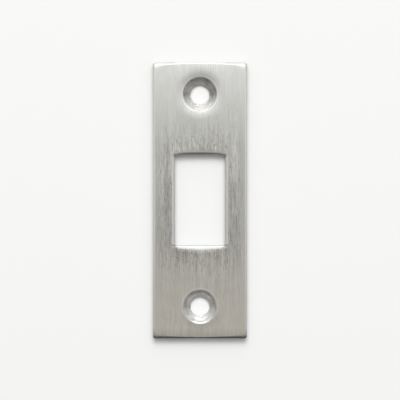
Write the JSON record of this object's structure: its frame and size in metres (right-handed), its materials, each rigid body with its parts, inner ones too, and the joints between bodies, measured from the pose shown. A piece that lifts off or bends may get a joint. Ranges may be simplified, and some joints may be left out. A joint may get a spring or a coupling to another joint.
{
  "type": "door strike plate",
  "caption": "Flat brushed-metal strike plate with a rectangular bolt opening between countersunk screw holes, screwed to a door frame to receive a latch or dead bolt.",
  "frame": {"origin": "centre of the back face, on the plane that lies against the door frame", "axes": "+Z out of the plate's face and away from the door frame, +Y along its length, +X across its width"},
  "size_m": [0.0254, 0.0746, 0.0025],
  "materials": {
    "brushed_plate": "brushed lengthwise on the face, turned in the countersinks, sheared on the edges, plain rolled on the back"
  },
  "bodies": {
    "root": {"strike_plate": "brushed_plate"}
  },
  "joints": []
}
